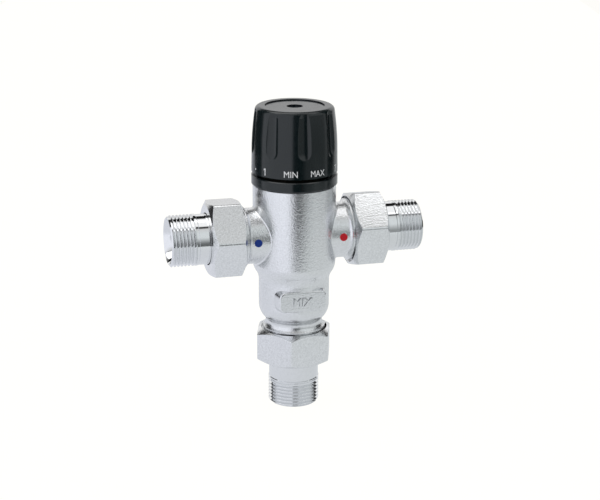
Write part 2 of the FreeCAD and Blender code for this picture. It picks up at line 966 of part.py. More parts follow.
def spindle_circlip():
    inner_r = circlip_groove_r + fit_clearance
    return split_ring(inner_r + circlip_width, inner_r, circlip_low, circlip_high, circlip_mouth)


# ---------------------------------------------------------------- knob group


def indicator_ring():
    """Fixed ring under the knob. It locks on the bonnet's hexagon and carries the knob's stop."""
    shelf = body_top + ring_rise
    ring = turned(
        [
            (bonnet_flange_r + ring_lip_clearance, body_top),
            (ring_r - 0.4, body_top),
            (ring_r, body_top + 0.4),
            (ring_r, ring_top - 0.4),
            (ring_r - 0.4, ring_top),
            (0, ring_top),
            (0, shelf),
            (bonnet_flange_r + ring_lip_clearance, shelf),
        ]
    )
    ring = ring.cut(hexagon(bonnet_neck_hex + ring_lip_clearance, body_top, ring_top + cut_over))
    lug = wedge_sector(lug_inner_r, lug_outer_r, shelf, ring_top + lug_height, stop_centre, lug_angle)
    return ring.fuse(lug)


def knob_outside():
    """Turned outside of the knob: a straight scale band, a gently drawn-in grip and a rounded rim."""
    band_z = knob_low + knob_band_height
    edge_z = knob_high - knob_edge_r
    middle_z = (band_z + edge_z) / 2
    slant = knob_edge_r * (1 - math.sqrt(0.5))
    return turned(
        [
            (0, knob_low),
            (knob_base_r - 0.3, knob_low),
            (knob_base_r, knob_low + 0.3),
            (knob_band_r, band_z),
            (knob_waist_r, middle_z, knob_top_r, edge_z),
            (knob_top_r - slant, knob_high - slant, knob_top_r - knob_edge_r, knob_high),
            (0, knob_high),
        ]
    )


def scoop_radius(width, depth):
    return (width * width / 4 + depth * depth) / (2 * depth)


def flute():
    """Round-bottomed grip flute: a ball at its foot and a cone that leans in and narrows upwards."""
    foot_r = scoop_radius(flute_foot_width, flute_foot_depth)
    top_r = scoop_radius(flute_top_width, flute_top_depth)
    foot_z = knob_low + flute_foot + flute_foot_width / 2
    top_z = knob_high - knob_edge_r
    foot = V(knob_band_r + foot_r - flute_foot_depth, 0, foot_z)
    top = V(knob_top_r + top_r - flute_top_depth, 0, top_z)
    lean = top - foot
    ball = Part.makeSphere(foot_r, foot)
    cone = Part.makeCone(foot_r, top_r, lean.Length, foot, lean)
    beyond = Part.makeCone(top_r, top_r * 0.7, knob_edge_r * 3, top, lean)
    return ball.multiFuse([cone, beyond])


def knob():
    """Hollow moulding with a scale band, grip flutes, a serrated boss on ribs and a stop lug."""
    band_z = knob_low + knob_band_height
    hollow = turned(
        [
            (0, knob_low - cut_over),
            (knob_base_r - knob_wall, knob_low - cut_over),
            (knob_base_r - knob_wall, band_z),
            (knob_top_r - knob_top_wall + 1.0, knob_ceiling_z - 1.5),
            (knob_top_r - knob_top_wall, knob_ceiling_z),
            (0, knob_ceiling_z),
        ]
    )
    shell = knob_outside().cut(hollow)
    boss = cylinder(knob_boss_r, knob_boss_low, knob_ceiling_z)
    rib = Part.makeBox(
        knob_top_r - knob_top_wall + 0.6,
        knob_rib_thickness,
        knob_rib_height,
        V(0, -knob_rib_thickness / 2, knob_ceiling_z - knob_rib_height),
    )
    lug = wedge_sector(
        lug_inner_r,
        knob_base_r - knob_wall / 2,
        knob_low,
        knob_low + lug_height,
        stop_centre + (360 - knob_turn_angle) / 2,
        lug_angle,
    )
    solid = shell.multiFuse([boss, around(rib, knob_rib_count, 360.0 / knob_rib_count / 2), lug])
    cap_seat = turned(
        [
            (0, screw_seat),
            (cap_plug_r + cap_gap, screw_seat),
            (cap_plug_r + cap_gap, cap_low),
            (cap_r + cap_gap, cap_low),
            (cap_r + cap_gap, knob_high + cut_over),
            (0, knob_high + cut_over),
        ]
    )
    spline = serrated(serration_r + fit_clearance, knob_boss_low - cut_over, screw_seat - knob_floor)
    hole = cylinder(screw_r + 0.25, screw_seat - 2 * knob_floor, screw_seat + cut_over)
    flutes = around(flute(), flute_count, flute_first)
    return solid.cut([cap_seat, spline, hole, flutes])


def knob_cap():
    """Snap-in disc that covers the knob's screw, with a round eye in its middle."""
    return turned(
        [
            (0, cap_low),
            (cap_plug_r - cap_plug_wall, cap_low),
            (cap_plug_r - cap_plug_wall, cap_low - cap_plug_length),
            (cap_plug_r, cap_low - cap_plug_length),
            (cap_plug_r, cap_low),
            (cap_r, cap_low),
            (cap_r, cap_top - 0.2),
            (cap_r - 0.2, cap_top),
            (cap_eye_r, cap_top),
            (cap_eye_r, cap_top - cap_eye_depth),
            (0, cap_top - cap_eye_depth),
        ]
    )


def knob_screw():
    head_top = screw_seat + screw_head_height
    screw = turned(
        [
            (0, screw_seat - screw_length),
            (screw_r, screw_seat - screw_length),
            (screw_r, screw_seat),
            (screw_head_r, screw_seat),
            (screw_head_r, head_top - 0.8),
            (screw_head_r - 0.8, head_top),
            (0, head_top),
        ]
    )
    return screw.cut(hexagon(screw_socket, head_top - 1.6, head_top + cut_over))


# ---------------------------------------------------------------- all the pieces


def pieces():
    built = {
        "valve_body": valve_body(),
        "bonnet": bonnet(),
        "bonnet_seal": bonnet_seal(),
        "indicator_ring": indicator_ring(),
        "knob": knob(),
        "knob_cap": knob_cap(),
        "knob_screw": knob_screw(),
        "spindle": spindle(),
        "spindle_circlip": spindle_circlip(),
        "setting_nut": setting_nut(),
        "overtravel_spring": coil_spring(overtravel_spring, cup_flange_top, nut_thread_low),
        "thrust_cup": thrust_cup(),
        "cup_retaining_ring": cup_retaining_ring(),
        "piston_rod": piston_rod(),
        "wax_element": wax_element(),
        "mixing_spool": mixing_spool(),
        "spool_seal": o_ring(web_bore_r + spool_seal_cord_r, spool_seal_cord_r, port_z),
        "return_spring": coil_spring(return_spring, spring_ledge, hub_low),
        "cold_dot": colour_dot(-1),
        "hot_dot": colour_dot(1),
    }
    for name, height in zip(("lower", "upper"), spindle_seal_heights()):
        built[f"spindle_seal_{name}"] = o_ring(spindle_r - spindle_seal_cord_r, spindle_seal_cord_r, height)
    for port in PORTS:
        built[f"{port}_union_nut"] = union_nut(port)
        built[f"{port}_tailpiece"] = tailpiece(port)
        built[f"{port}_gasket"] = gasket(port)
    for port in ("cold", "hot"):
        built[f"{port}_strainer"] = strainer(port)
        built[f"{port}_check_housing"] = check_housing(port)
        built[f"{port}_check_guide"] = check_guide(port)
        built[f"{port}_check_poppet"] = check_poppet(port)
        built[f"{port}_check_seal"] = check_seal(port)
        built[f"{port}_check_spring"] = check_return(port)
    return built


def main():
    os.makedirs("parts", exist_ok=True)
    for name, shape in pieces().items():
        solids = shape.Solids
        print(f"{name}: {len(solids)} solid, {shape.Volume:.0f} mm3, valid {shape.isValid()}")
        shape.exportStep(f"parts/{name}.step")


main()
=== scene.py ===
import json
import math

import bpy
from bpy.props import FloatProperty, FloatVectorProperty, IntProperty, PointerProperty
from bpy.types import Operator, Panel, PropertyGroup
from mathutils import Matrix, Vector


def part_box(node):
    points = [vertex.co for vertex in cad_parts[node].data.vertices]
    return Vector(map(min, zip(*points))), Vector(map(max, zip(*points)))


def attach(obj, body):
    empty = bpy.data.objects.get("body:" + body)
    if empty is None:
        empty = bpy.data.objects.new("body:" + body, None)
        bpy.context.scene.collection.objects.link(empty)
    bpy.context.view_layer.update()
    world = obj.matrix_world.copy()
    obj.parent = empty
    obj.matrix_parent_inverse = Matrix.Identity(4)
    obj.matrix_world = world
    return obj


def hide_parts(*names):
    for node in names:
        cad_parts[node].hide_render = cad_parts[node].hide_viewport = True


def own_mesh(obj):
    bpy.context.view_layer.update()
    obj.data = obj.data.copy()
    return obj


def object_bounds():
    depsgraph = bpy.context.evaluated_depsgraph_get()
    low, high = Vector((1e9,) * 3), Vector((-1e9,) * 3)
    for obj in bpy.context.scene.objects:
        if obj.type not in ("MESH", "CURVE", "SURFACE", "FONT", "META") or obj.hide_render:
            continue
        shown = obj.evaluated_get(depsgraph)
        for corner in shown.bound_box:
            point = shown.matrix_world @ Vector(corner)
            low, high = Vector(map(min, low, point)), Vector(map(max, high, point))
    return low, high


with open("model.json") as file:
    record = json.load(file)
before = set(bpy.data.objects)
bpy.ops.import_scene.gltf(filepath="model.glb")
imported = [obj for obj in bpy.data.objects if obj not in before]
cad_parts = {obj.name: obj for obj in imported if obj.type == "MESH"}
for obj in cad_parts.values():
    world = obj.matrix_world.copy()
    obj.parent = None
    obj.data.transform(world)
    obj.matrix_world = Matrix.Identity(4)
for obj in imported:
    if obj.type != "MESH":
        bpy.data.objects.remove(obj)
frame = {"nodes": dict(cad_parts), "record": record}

bl_info = {
    "name": "Thermostatic Mixing Valve",
    "version": (1, 1, 0),
    "blender": (4, 5, 0),
    "location": "3D View > Sidebar > Mixing Valve",
    "description": "Threads, dial marks, cast lettering, finishes and a studio for a thermostatic mixing valve",
    "category": "Object",
}

CAD_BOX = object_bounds()
NODES = frame["nodes"]
MOUNTS = {mount["name"]: mount for mount in frame["record"]["mounts"]}
MM = 0.001
DEGREE = math.pi / 180


# ---------------------------------------------------------------- sizes and colours a user may change


def length(text, about, default):
    return FloatProperty(name=text, description=about, default=default, unit="LENGTH", precision=5)


def turn(text, about, angle):
    return FloatProperty(name=text, description=about, default=angle * DEGREE, unit="ROTATION")


def colour(text, about, default):
    return FloatVectorProperty(
        name=text, description=about, default=default, subtype="COLOR", size=4, min=0.0, max=2.0
    )


class VALVE_PG_thread(PropertyGroup):
    """Sizes of the tailpieces and of the pipe thread cut on them."""

    pitch: length("Pitch", "Distance from one thread crest to the next", 1.814 * MM)
    depth: length("Depth", "Height of the thread from root to crest", 1.162 * MM)
    root: length("Root", "Half the width of the groove's rounded floor", 0.15 * MM)
    run: length("Run", "Length of thread cut on each tail", 14.3 * MM)
    barrel: length("Barrel", "Radius of the plain barrel between nut and thread", 12.95 * MM)
    bore: length("Bore", "Radius of the water way through the tail", 10.0 * MM)
    strainer: length("Strainer seat", "Radius of the strainer's seat in an inlet tail", 12.05 * MM)
    chamfer: length("Chamfer", "Bevel at the mouth of the thread", 1.0 * MM)
    funnel: length("Funnel", "How much wider the bore is at its mouth", 1.9 * MM)
    flange: length("Flange", "Thickness of the flange held by the union nut", 3.0 * MM)
    recess: length("Recess", "Depth of the seat in the flange", 1.0 * MM)
    segments: IntProperty(name="Segments", description="Sides of each turned ring", default=96, min=24)


class VALVE_PG_nut(PropertyGroup):
    """Sizes of the union nuts, and how far each is turned on its port."""

    flats: length("Flats", "Width across the flats of a union nut", 37.0 * MM)
    inset: length("Inset", "How far inside the flats the bevelled end's face stops", 1.1 * MM)
    slope: turn("Slope", "Slope of the bevel at each end", 30.0)
    edge: length("Edge", "Width taken off each side of a long edge by polishing", 1.0 * MM)
    thread_bore: length("Thread bore", "Radius inside, over the union's thread", 16.72 * MM)
    mouth: length("Mouth", "Bevel at the mouth of the thread bore", 0.45 * MM)
    shoulder: length("Shoulder", "Thickness of the shoulder that pulls the tail in", 3.0 * MM)
    tail_bore: length("Tail bore", "Radius of the hole that the tail comes through", 13.4 * MM)
    cold_turn: turn("Cold turn", "Turn of the cold nut on its port", -24.0)
    hot_turn: turn("Hot turn", "Turn of the hot nut on its port", 16.0)
    outlet_turn: turn("Outlet turn", "Turn of the outlet nut on its port", -11.5)


class VALVE_PG_spring(PropertyGroup):
    """Sizes of the springs that shorten as the valve works."""

    check_radius: length("Check radius", "Mean radius of the check valve springs", 4.4 * MM)
    check_wire: length("Check wire", "Wire radius of the check valve springs", 0.35 * MM)
    check_turns: IntProperty(name="Check turns", description="Turns of the check valve springs", default=3)
    return_radius: length("Return radius", "Mean radius of the return spring", 10.34 * MM)
    return_wire: length("Return wire", "Wire radius of the return spring", 0.8 * MM)
    return_turns: IntProperty(name="Return turns", description="Turns of the return spring", default=5)


class VALVE_PG_marks(PropertyGroup):
    """Sizes and places of the dial's marks, the ring's index and the cast word."""

    figure: length("Figure", "Height of the dial's figures", 3.6 * MM)
    word: length("Word", "Height of the dial's words", 3.1 * MM)
    min_width: length("MIN width", "Width of the word MIN on the dial", 6.9 * MM)
    max_width: length("MAX width", "Width of the word MAX on the dial", 8.0 * MM)
    base_line: length("Base line", "Height of the words above the knob's lower edge", 1.4 * MM)
    dot: length("Dot", "Radius of a dot between two figures", 0.42 * MM)
    film: length("Film", "Thickness of the printed ink", 0.05 * MM)
    first: turn("First", "Angle of MIN about the axis", -109.8)
    end_step: turn("End step", "Angle from a word to the mark beside it", 37.1)
    tick: turn("Tick", "Angle of the index on the ring", -95.0)
    pad_face: length("Pad face", "Distance of the outlet's pad from the axis", 18.5 * MM)
    pad_middle: length("Pad middle", "Height of the cast word's middle", 60.2 * MM)
    pad_height: length("Pad letter height", "Height of the cast word", 4.3 * MM)
    pad_width: length("Pad letter width", "Width of the cast word", 10.0 * MM)
    pad_raise: length("Pad letter raise", "How far the cast word stands proud of the pad", 0.55 * MM)


class VALVE_PG_finish(PropertyGroup):
    """Colours and grain of the valve's finishes and of the studio."""

    chrome: colour("Chrome", "Colour of the plated brass", (0.80, 0.81, 0.82, 1.0))
    knob: colour("Knob", "Colour of the moulded knob", (0.006, 0.011, 0.012, 1.0))
    ink: colour("Ink", "Colour of the dial's figures", (0.95, 0.95, 0.94, 1.0))
    cold: colour("Cold dot", "Colour of the cold inlet's dot", (0.006, 0.040, 0.27, 1.0))
    hot: colour("Hot dot", "Colour of the hot inlet's dot", (0.62, 0.008, 0.020, 1.0))
    floor: colour("Floor", "Colour of the studio floor", (0.90, 0.895, 0.88, 1.0))
    white: colour("White", "Colour of the studio's background", (0.991, 0.982, 0.947, 1.0))
    grain: length("Grain", "Size of the blasted grain under the plating", 0.8 * MM)


class VALVE_PG_studio(PropertyGroup):
    """Place of the camera, reach of the floor and strength of the light."""

    azimuth: turn("Azimuth", "Camera's angle round the valve", -15.16)
    elevation: turn("Elevation", "Camera's angle above the horizon", 16.42)
    roll: turn("Roll", "Camera's turn about its own axis", 0.26)
    distance: length("Distance", "Camera's distance from the point it looks at", 0.765)
    lens: FloatProperty(name="Lens", description="Focal length of the camera in millimetres", default=88.9)
    aim: length("Aim", "Height that the camera looks at", 0.0919)
    shift_x: FloatProperty(name="Shift across", description="Camera's shift to the side", default=0.0098, precision=4)
    shift_y: FloatProperty(name="Shift up", description="Camera's shift up", default=-0.0289, precision=4)
    table_edge: length("Table edge", "How far the floor reaches in front of the valve", 0.29)
    table_side: length("Table side", "How far the floor reaches to each side of the valve", 0.45)
    overhead: FloatProperty(name="Overhead", description="Strength of the soft light overhead", default=1.1)
    backdrop: FloatProperty(name="Backdrop", description="Strength of the wall behind, as metal sees it", default=0.74)


GROUPS = {
    "valve_nut": VALVE_PG_nut,
    "valve_thread": VALVE_PG_thread,
    "valve_spring": VALVE_PG_spring,
    "valve_marks": VALVE_PG_marks,
    "valve_finish": VALVE_PG_finish,
    "valve_studio": VALVE_PG_studio,
}


# ---------------------------------------------------------------- shared modelling steps


def nothing_selected():
    if bpy.context.object and bpy.context.object.mode != "OBJECT":
        bpy.ops.object.mode_set(mode="OBJECT")
    bpy.ops.object.select_all(action="DESELECT")


def only(piece):
    nothing_selected()
    piece.hide_set(False)
    piece.select_set(True)
    bpy.context.view_layer.objects.active = piece


def named(piece, name):
    piece.name = name
    piece.data.name = name
    return piece


def edit_points(piece, wanted):
    """Edit mode with only the points that wanted(place) picks selected."""
    only(piece)
    bpy.ops.object.mode_set(mode="EDIT")
    bpy.ops.mesh.select_mode(type="VERT")
    bpy.ops.mesh.select_all(action="DESELECT")
    bpy.ops.object.mode_set(mode="OBJECT")
    for vertex in piece.data.vertices:
        vertex.select = wanted(vertex.co)
    bpy.ops.object.mode_set(mode="EDIT")


def edit_edges(piece, wanted):
    """Edit mode with only the edges that wanted(start, end) picks selected."""
    only(piece)
    bpy.ops.object.mode_set(mode="EDIT")
    bpy.ops.mesh.select_mode(type="EDGE")
    bpy.ops.mesh.select_all(action="DESELECT")
    bpy.ops.object.mode_set(mode="OBJECT")
    points = piece.data.vertices
    for edge in piece.data.edges:
        edge.select = wanted(points[edge.vertices[0]].co, points[edge.vertices[1]].co)
    bpy.ops.object.mode_set(mode="EDIT")


def edit_all(piece):
    only(piece)
    bpy.ops.object.mode_set(mode="EDIT")
    bpy.ops.mesh.select_all(action="SELECT")


def faces_out(piece):
    edit_all(piece)
    bpy.ops.mesh.remove_doubles(threshold=0.000001)
    bpy.ops.mesh.normals_make_consistent(inside=False)
    bpy.ops.object.mode_set(mode="OBJECT")


def apply_place(piece):
    only(piece)
    bpy.ops.object.transform_apply(location=True, rotation=True, scale=True)


def apply_modifier(piece, kind, **settings):
    only(piece)
    bpy.ops.object.modifier_add(type=kind)
    modifier = piece.modifiers[-1]
    for name, value in settings.items():
        setattr(modifier, name, value)
    bpy.ops.object.modifier_apply(modifier=modifier.name)


def copy_of(piece, name):
    only(piece)
    bpy.ops.object.duplicate(linked=False)
    return named(bpy.context.object, name)


def turned_by_hand(name, outline, segments):
    """Ring pulled up and scaled along an outline of (radius, height), closed back onto its first ring."""
    nothing_selected()
    radius, height = outline[0]
    bpy.ops.mesh.primitive_circle_add(vertices=segments, radius=radius, location=(0, 0, height))
    piece = named(bpy.context.object, name)
    apply_place(piece)
    edit_all(piece)
    for next_radius, next_height in outline[1:] + outline[:1]:
        bpy.ops.mesh.extrude_region_move(TRANSFORM_OT_translate={"value": (0, 0, next_height - height)})
        scale = next_radius / radius
        bpy.ops.transform.resize(value=(scale, scale, 1), center_override=(0, 0, next_height))
        radius, height = next_radius, next_height
    faces_out(piece)
    return piece


def smooth_to(piece, angle):
    """Shade smooth, apart from edges sharper than the angle, in degrees."""
    only(piece)
    bpy.ops.object.shade_smooth_by_angle(angle=angle * DEGREE)


def settle(piece, body, material):
    """Leave the object at the origin with its place in its mesh, riding on its body."""
    apply_place(piece)
    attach(piece, body)
    wear(piece, material)


def mount_of(port):
    return MOUNTS["outlet_thread" if port == "outlet" else f"{port}_inlet_thread"]


def fit_at_port(piece, port, node, material):
    """Point the piece's Z axis out of the port, set its foot at the node's inner end and replace the node."""
    slack = 0.6 * MM
    low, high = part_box(node)
    way = Vector(mount_of(port)["axis"])
    middle = (low + high) / 2
    half = Vector([w * (h - l) / 2 for w, h, l in zip(way, high, low)])
    piece.rotation_euler = (math.pi if way.z < -0.5 else 0, way.x * math.pi / 2, 0)
    piece.location = middle - half
    settle(piece, body_of_node(node), bpy.data.materials[material])
    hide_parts(node)
    points = [vertex.co for vertex in piece.data.vertices]
    for axis in range(3):
        ends = min(p[axis] for p in points) - low[axis], max(p[axis] for p in points) - high[axis]
        if max(abs(end) for end in ends) > slack:
            raise RuntimeError(f"{piece.name} doesn't fill the box of {node}: {ends}")


def body_of_node(node):
    for name, members in frame["record"]["behaviour"]["bodies"].items():
        if node in members:
            return name
    raise RuntimeError(f"no body holds {node}")


# ---------------------------------------------------------------- materials


def new_material(name):
    material = bpy.data.materials.new(name)
    material.use_nodes = True
    nodes = material.node_tree.nodes
    nodes.clear()
    output = nodes.new("ShaderNodeOutputMaterial")
    shader = nodes.new("ShaderNodeBsdfPrincipled")
    material.node_tree.links.new(shader.outputs["BSDF"], output.inputs["Surface"])
    return material, nodes, material.node_tree.links, shader


def object_noise(nodes, links, scale, detail=2.0, roughness=0.5, stretch=(1, 1, 1)):
    place = nodes.new("ShaderNodeTexCoord")
    squeeze = nodes.new("ShaderNodeMapping")
    squeeze.inputs["Scale"].default_value = stretch
    noise = nodes.new("ShaderNodeTexNoise")
    noise.inputs["Scale"].default_value = scale
    noise.inputs["Detail"].default_value = detail
    noise.inputs["Roughness"].default_value = roughness
    links.new(place.outputs["Object"], squeeze.inputs["Vector"])
    links.new(squeeze.outputs["Vector"], noise.inputs["Vector"])
    return noise.outputs["Fac"]


def bumped(nodes, links, shader, height, strength, distance):
    bump = nodes.new("ShaderNodeBump")
    bump.inputs["Strength"].default_value = strength
    bump.inputs["Distance"].default_value = distance
    links.new(height, bump.inputs["Height"])
    links.new(bump.outputs["Normal"], shader.inputs["Normal"])


def spread(nodes, links, value, low, high):
    """Noise, whose values lie mostly from 0.3 to 0.7, stretched over low to high."""
    remap = nodes.new("ShaderNodeMapRange")
    remap.inputs["From Min"].default_value = 0.3
    remap.inputs["From Max"].default_value = 0.7
    remap.inputs["To Min"].default_value = low
    remap.inputs["To Max"].default_value = high
    links.new(value, remap.inputs["Value"])
    return remap.outputs["Result"]


def tinted(nodes, links, shader, pattern, tint, dark, light):
    """Base colour that follows a pattern from a darker to a lighter tone of one tint."""
    ramp = nodes.new("ShaderNodeValToRGB")
    for element, place, share in zip(ramp.color_ramp.elements, (0.32, 0.68), (dark, light)):
        element.position = place
        element.color = [share * c for c in tint[:3]] + [1]
    links.new(pattern, ramp.inputs["Fac"])
    links.new(ramp.outputs["Color"], shader.inputs["Base Color"])


def plated(name, tint, grain, depth, sparkle, low, high):
    """Chrome over brass, whose grain and roughness are those of the metal under it."""
    material, nodes, links, shader = new_material(name)
    shader.inputs["Metallic"].default_value = 1.0
    cloud = object_noise(nodes, links, 120.0)
    links.new(spread(nodes, links, cloud, low, high), shader.inputs["Roughness"])
    skin = object_noise(nodes, links, 1.0 / grain, detail=3.0, roughness=0.6)
    tinted(nodes, links, shader, skin, tint, 1 - sparkle, 1 + sparkle)
    bumped(nodes, links, shader, skin, 1.0, depth)
    return material


def moulding(name, paint, low, high, specular=0.5):
    """Moulded plastic with a fine skin."""
    material, nodes, links, shader = new_material(name)
    shader.inputs["Base Color"].default_value = paint
    shader.inputs["Specular IOR Level"].default_value = specular
    cloud = object_noise(nodes, links, 300.0)
    links.new(spread(nodes, links, cloud, low, high), shader.inputs["Roughness"])
    skin = object_noise(nodes, links, 2200.0)
    bumped(nodes, links, shader, skin, 1.0, 0.004 * MM)
    return material


def bare_metal(name, tint, low, high):
    """Unplated metal with faint drawn or turned marks."""
    material, nodes, links, shader = new_material(name)
    shader.inputs["Base Color"].default_value = tint
    shader.inputs["Metallic"].default_value = 1.0
    marks = object_noise(nodes, links, 500.0, detail=3.0, stretch=(0.2, 0.2, 4.0))
    links.new(spread(nodes, links, marks, low, high), shader.inputs["Roughness"])
    bumped(nodes, links, shader, marks, 0.15, 0.02 * MM)
    return material


def soft_matter(name, tint, scale, roughness):
    """Rubber, fibre and unplated polymer: matt, slightly mottled."""
    material, nodes, links, shader = new_material(name)
    mottle = object_noise(nodes, links, scale, detail=4.0)
    tinted(nodes, links, shader, mottle, tint, 0.8, 1.0)
    shader.inputs["Roughness"].default_value = roughness
    bumped(nodes, links, shader, mottle, 0.2, 0.03 * MM)
    return material


def finishes(finish):
    """One material for each of the record's slots, and five more for places that differ within a slot."""
    return {
        "satin_chrome": plated("pearl_chrome", finish.chrome, finish.grain, 0.115 * MM, 0.06, 0.23, 0.24),
        # recess_chrome: the plain chrome's tint cut to 0.30, a painted shade worn by the sides of the cast word MIX.
        "recess_chrome": plated("painted_shade_chrome", (0.30, 0.31, 0.32, 1), finish.grain, 0.05 * MM, 0.1, 0.35, 0.45),
        "nut_chrome": plated("rolled_chrome", finish.chrome, 0.9 * MM, 0.06 * MM, 0.08, 0.16, 0.2),
        "bright_chrome": plated("turned_chrome", finish.chrome, 1.4 * MM, 0.004 * MM, 0.02, 0.05, 0.11),
        "brass": bare_metal("turned_brass", (0.72, 0.52, 0.24, 1), 0.22, 0.34),
        "dark_brass": bare_metal("darkened_brass", (0.09, 0.07, 0.05, 1), 0.4, 0.55),
        "copper_brass": bare_metal("drawn_copper", (0.74, 0.40, 0.24, 1), 0.25, 0.4),
        "stainless": bare_metal("drawn_stainless", (0.62, 0.62, 0.61, 1), 0.2, 0.34),
        "black_plastic": moulding("black_moulding", finish.knob, 0.12, 0.2),
        "ink": moulding("white_ink", finish.ink, 0.4, 0.5),
        "tick": moulding("matt_black", (0.003, 0.003, 0.003, 1), 0.5, 0.6, 0.2),
        "white_polymer": soft_matter("natural_acetal", (0.82, 0.82, 0.78, 1), 400.0, 0.45),
        "seal_rubber": soft_matter("seal_rubber", (0.02, 0.02, 0.02, 1), 900.0, 0.6),
        "fibre_gasket": soft_matter("fibre_gasket", (0.17, 0.19, 0.15, 1), 1400.0, 0.8),
        "blue_plastic": moulding("blue_dot_plastic", finish.cold, 0.3, 0.4, 0.3),
        "red_plastic": moulding("red_dot_plastic", finish.hot, 0.3, 0.4, 0.3),
    }


def wear(piece, material):
    piece.data.materials.clear()
    piece.data.materials.append(material)


# ---------------------------------------------------------------- steps of the studio's shading


def fill(links, socket, value):
    """Link another node's output to the socket, or set the socket's own value."""
    if isinstance(value, bpy.types.NodeSocket):
        links.new(value, socket)
    else:
        socket.default_value = value


def maths(nodes, links, operation, first, second=0.0):
    step = nodes.new("ShaderNodeMath")
    step.operation = operation
    fill(links, step.inputs[0], first)
    fill(links, step.inputs[1], second)
    return step.outputs["Value"]


def dotted(nodes, links, vector, way):
    """How far a vector goes along a way."""
    step = nodes.new("ShaderNodeVectorMath")
    step.operation = "DOT_PRODUCT"
    fill(links, step.inputs[0], vector)
    fill(links, step.inputs[1], way)
    return step.outputs["Value"]


def in_degrees(nodes, links, angle):
    return maths(nodes, links, "MULTIPLY", angle, 1 / DEGREE)


def mixed(nodes, links, share, first, second):
    """Colour that goes from the first to the second as the share goes from 0 to 1."""
    first_colour, second_colour, result = 6, 7, 2
    mix = nodes.new("ShaderNodeMix")
    mix.data_type = "RGBA"
    fill(links, mix.inputs["Factor"], share)
    fill(links, mix.inputs[first_colour], first)
    fill(links, mix.inputs[second_colour], second)
    return mix.outputs[result]


def ramped(nodes, links, value, low, high, stops):
    """Colour ramp over low to high, with a grey or a colour at each stop."""
    span = maths(nodes, links, "SUBTRACT", value, low)
    span = maths(nodes, links, "DIVIDE", span, high - low)
    ramp = nodes.new("ShaderNodeValToRGB")
    elements = ramp.color_ramp.elements
    while len(elements) < len(stops):
        elements.new(0.5)
    for element, (place, shade) in zip(elements, stops):
        element.position = (place - low) / (high - low)
        element.color = (*shade, 1) if isinstance(shade, tuple) else (shade, shade, shade, 1)
    links.new(span, ramp.inputs["Fac"])
    return ramp.outputs["Color"]


# ---------------------------------------------------------------- the operators


class VALVE_OT_finishes(Operator):
    """Give every carried-over part its metal, plastic or rubber"""

    bl_idname = "valve.finishes"
    bl_label = "Finishes"

    def execute(self, context):
        made = finishes(context.scene.valve_finish)
        for row in frame["record"]["subparts"]:
            kind = "dark_brass" if row["node"] == "bonnet" else row["material_slot"]
            wear(NODES[row["node"]], made[kind])
        return {"FINISHED"}


class VALVE_OT_union_nuts(Operator):
    """Shape a hexagon union nut with polished edges and set one at each port"""

    bl_idname = "valve.union_nuts"
    bl_label = "Union nuts"

    def execute(self, context):
        nut = context.scene.valve_nut
        low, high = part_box("outlet_union_nut")
        first = self.shape(nut, high.z - low.z)
        for port, angle in (("hot", nut.hot_turn), ("outlet", nut.outlet_turn), ("cold", nut.cold_turn)):
            piece = first if port == "cold" else copy_of(first, f"{port}_polished_nut")
            piece.rotation_euler = (0, 0, angle)
            apply_place(piece)
            fit_at_port(piece, port, f"{port}_union_nut", "rolled_chrome")
        return {"FINISHED"}

    def shape(self, nut, long):
        """Nut standing on its threaded end at the origin, with a corner over the X axis."""
        clear, edge_round = 0.5 * MM, 0.12 * MM
        corner = nut.flats / math.sqrt(3)
        nothing_selected()
        bpy.ops.mesh.primitive_circle_add(vertices=6, radius=corner, fill_type="NGON", rotation=(0, 0, math.pi / 6))
        piece = named(bpy.context.object, "cold_polished_nut")
        apply_place(piece)
        edit_all(piece)
        bpy.ops.mesh.extrude_region_move(TRANSFORM_OT_translate={"value": (0, 0, long)})
        bpy.ops.object.mode_set(mode="OBJECT")
        edit_edges(piece, lambda start, end: abs(start.z - end.z) > long / 2)
        bpy.ops.mesh.bevel(offset=nut.edge, offset_type="OFFSET", segments=8, affect="EDGES")
        faces_out(piece)
        face = nut.flats / 2 - nut.inset
        beyond = corner + clear
        drop = (beyond - face) * math.tan(nut.slope)
        turned = turned_by_hand(
            "nut_turning",
            [
                (nut.thread_bore + nut.mouth, 0),
                (face, 0),
                (beyond, drop),
                (beyond, long - drop),
                (face, long),
                (nut.tail_bore, long),
                (nut.tail_bore, long - nut.shoulder),
                (nut.thread_bore, long - nut.shoulder),
                (nut.thread_bore, nut.mouth),
            ],
            bpy.context.scene.valve_thread.segments,
        )
        apply_modifier(piece, "BOOLEAN", operation="INTERSECT", solver="EXACT", object=turned)
        bpy.data.objects.remove(turned)
        apply_modifier(piece, "BEVEL", width=edge_round, segments=2, limit_method="ANGLE", angle_limit=20 * DEGREE)
        smooth_to(piece, 40)
        apply_modifier(piece, "WEIGHTED_NORMAL", keep_sharp=True)
        return piece


